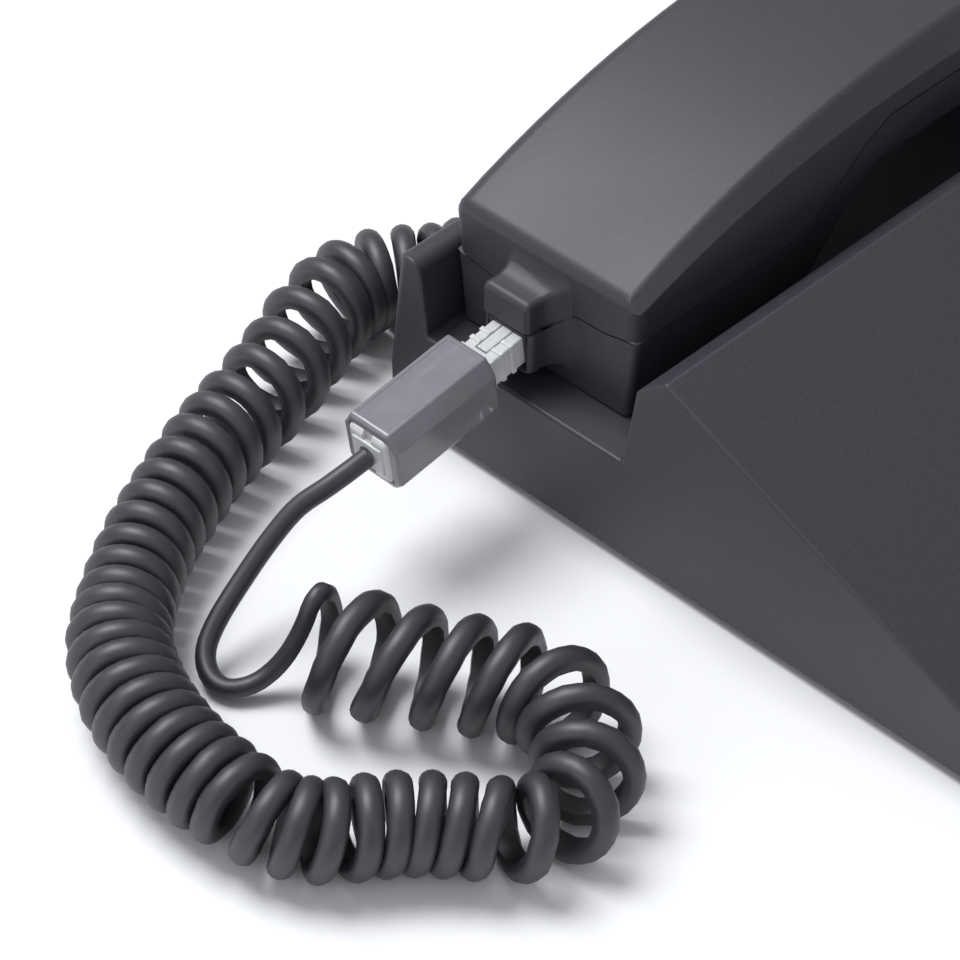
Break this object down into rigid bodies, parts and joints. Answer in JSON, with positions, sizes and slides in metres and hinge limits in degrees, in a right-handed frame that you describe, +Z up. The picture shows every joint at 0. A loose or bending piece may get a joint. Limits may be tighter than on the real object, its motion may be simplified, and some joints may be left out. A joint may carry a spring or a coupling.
{
  "type": "rotary telephone",
  "caption": "Wedge-shaped desk telephone with a rotary dial, a handset lying crosswise in a trough and a curly cord on a swivel connector.",
  "frame": {"origin": "bottom centre of the telephone body on the table, cord left out", "axes": "+X to the right along the handset, -Y to the front, +Z up"},
  "size_m": [0.3327, 0.2031, 0.0726],
  "materials": {
    "charcoal_abs": "fine spark-eroded grain",
    "base_abs": "matt",
    "black_rubber": "matt",
    "zinc_screw": "bright zinc",
    "black_gloss": "moulded gloss",
    "number_enamel": "satin enamel",
    "chrome_stop": "polished",
    "card_paper": "printed card",
    "clear_window": "clear moulding",
    "plated_steel": "zinc plated",
    "spring_steel": "blued",
    "nickel_silver": "bare leaf",
    "brass": "machined",
    "cam_nylon": "natural",
    "gong_steel": "nickel plated",
    "coil_enamel": "enamelled winding",
    "board": "epoxy board",
    "capacitor_case": "dipped",
    "jack_black": "matt",
    "ballast": "as cast",
    "capsule_aluminium": "spun",
    "clear_polycarbonate": "clear moulding",
    "smoke_polycarbonate": "smoke-tinted moulding",
    "cord_black": "satin PVC"
  },
  "bodies": {
    "base": {"upper_housing": "charcoal_abs", "base_plate": "base_abs", "feet": "black_rubber", "housing_screws": "zinc_screw", "dial_bezel": "black_gloss", "number_plate": "number_enamel", "finger_stop": "chrome_stop", "dial_frame": "plated_steel", "dial_rear_plate": "plated_steel", "spring_cup": "plated_steel", "return_spring": "spring_steel", "pulse_contacts": "nickel_silver", "governor_cup": "plated_steel", "hook_spring": "spring_steel", "hook_contacts": "nickel_silver", "gong_rear": "gong_steel", "gong_front": "gong_steel", "gong_posts": "plated_steel", "ringer_frame": "plated_steel", "ringer_coils": "coil_enamel", "circuit_board": "board", "induction_coil": "coil_enamel", "capacitor": "capacitor_case", "base_cord_jack": "jack_black", "line_jack": "jack_black", "ballast_weight": "ballast", "cord_lead": "cord_black", "cord_coil": "cord_black", "cord_tail": "cord_black", "cord_plug_base": "clear_polycarbonate"},
    "handset": {"handset_upper": "charcoal_abs", "handset_lower": "charcoal_abs", "ear_cap": "charcoal_abs", "mouth_cap": "charcoal_abs", "receiver_capsule": "capsule_aluminium", "transmitter_capsule": "capsule_aluminium", "handset_jack": "clear_polycarbonate", "handset_screws": "zinc_screw", "swivel_plug": "clear_polycarbonate"},
    "swivel": {"swivel_body": "smoke_polycarbonate", "swivel_contacts": "brass", "cord_plug_swivel": "clear_polycarbonate"},
    "dial": {"finger_wheel": "black_gloss", "dial_card": "card_paper", "card_window": "clear_window", "dial_shaft": "plated_steel", "main_gear": "brass"},
    "idler": {"idler_shaft": "plated_steel", "idler_pinion": "brass", "idler_gear": "brass", "pulse_cam": "cam_nylon"},
    "governor": {"governor_shaft": "plated_steel", "governor_pinion": "brass", "governor_weights": "brass"},
    "hook": {"plunger_left": "black_gloss", "plunger_right": "black_gloss", "hook_bar": "plated_steel"},
    "ringer_clapper": {"clapper": "plated_steel"}
  },
  "joints": [
    {"name": "handset_lift", "type": "slide", "parent": "base", "child": "handset", "axis": [0, 0, 1], "range_m": [0, 0.06]},
    {"name": "swivel_spin", "type": "hinge", "parent": "handset", "child": "swivel", "pos_m": [-0.1089, 0.0533, 0.0344], "axis": [-0.9903, 0, -0.1392], "continuous": true},
    {"name": "dial_turn", "type": "hinge", "parent": "base", "child": "dial", "pos_m": [0, -0.03475, 0.0297], "axis": [0, 0.4122, -0.9111], "range_deg": [0, 330], "stiffness_Nm_per_rad": 0.008, "springref_deg": -57.3},
    {"name": "idler_turn", "type": "hinge", "parent": "base", "child": "idler", "pos_m": [-0.01949, -0.0245, 0.03434], "axis": [0, 0.4122, -0.9111], "range_deg": [-1330, 10]},
    {"name": "governor_turn", "type": "hinge", "parent": "base", "child": "governor", "pos_m": [-0.01483, -0.00866, 0.04151], "axis": [0, 0.4122, -0.9111], "range_deg": [-10, 5300]},
    {"name": "hook_press", "type": "slide", "parent": "base", "child": "hook", "axis": [0, 0, 1], "range_m": [0, 0.00401]},
    {"name": "clapper_swing", "type": "hinge", "parent": "base", "child": "ringer_clapper", "pos_m": [0.048, -0.00875, 0.0098], "axis": [0, 0, 1], "range_deg": [-2, 2], "stiffness_Nm_per_rad": 0.002}
  ],
  "couplings": [
    {"joint": "idler_turn", "follows": "dial_turn", "ratio": -4},
    {"joint": "governor_turn", "follows": "dial_turn", "ratio": 16},
    {"joint": "hook_press", "follows": "handset_lift", "ratio": 0.0667}
  ]
}
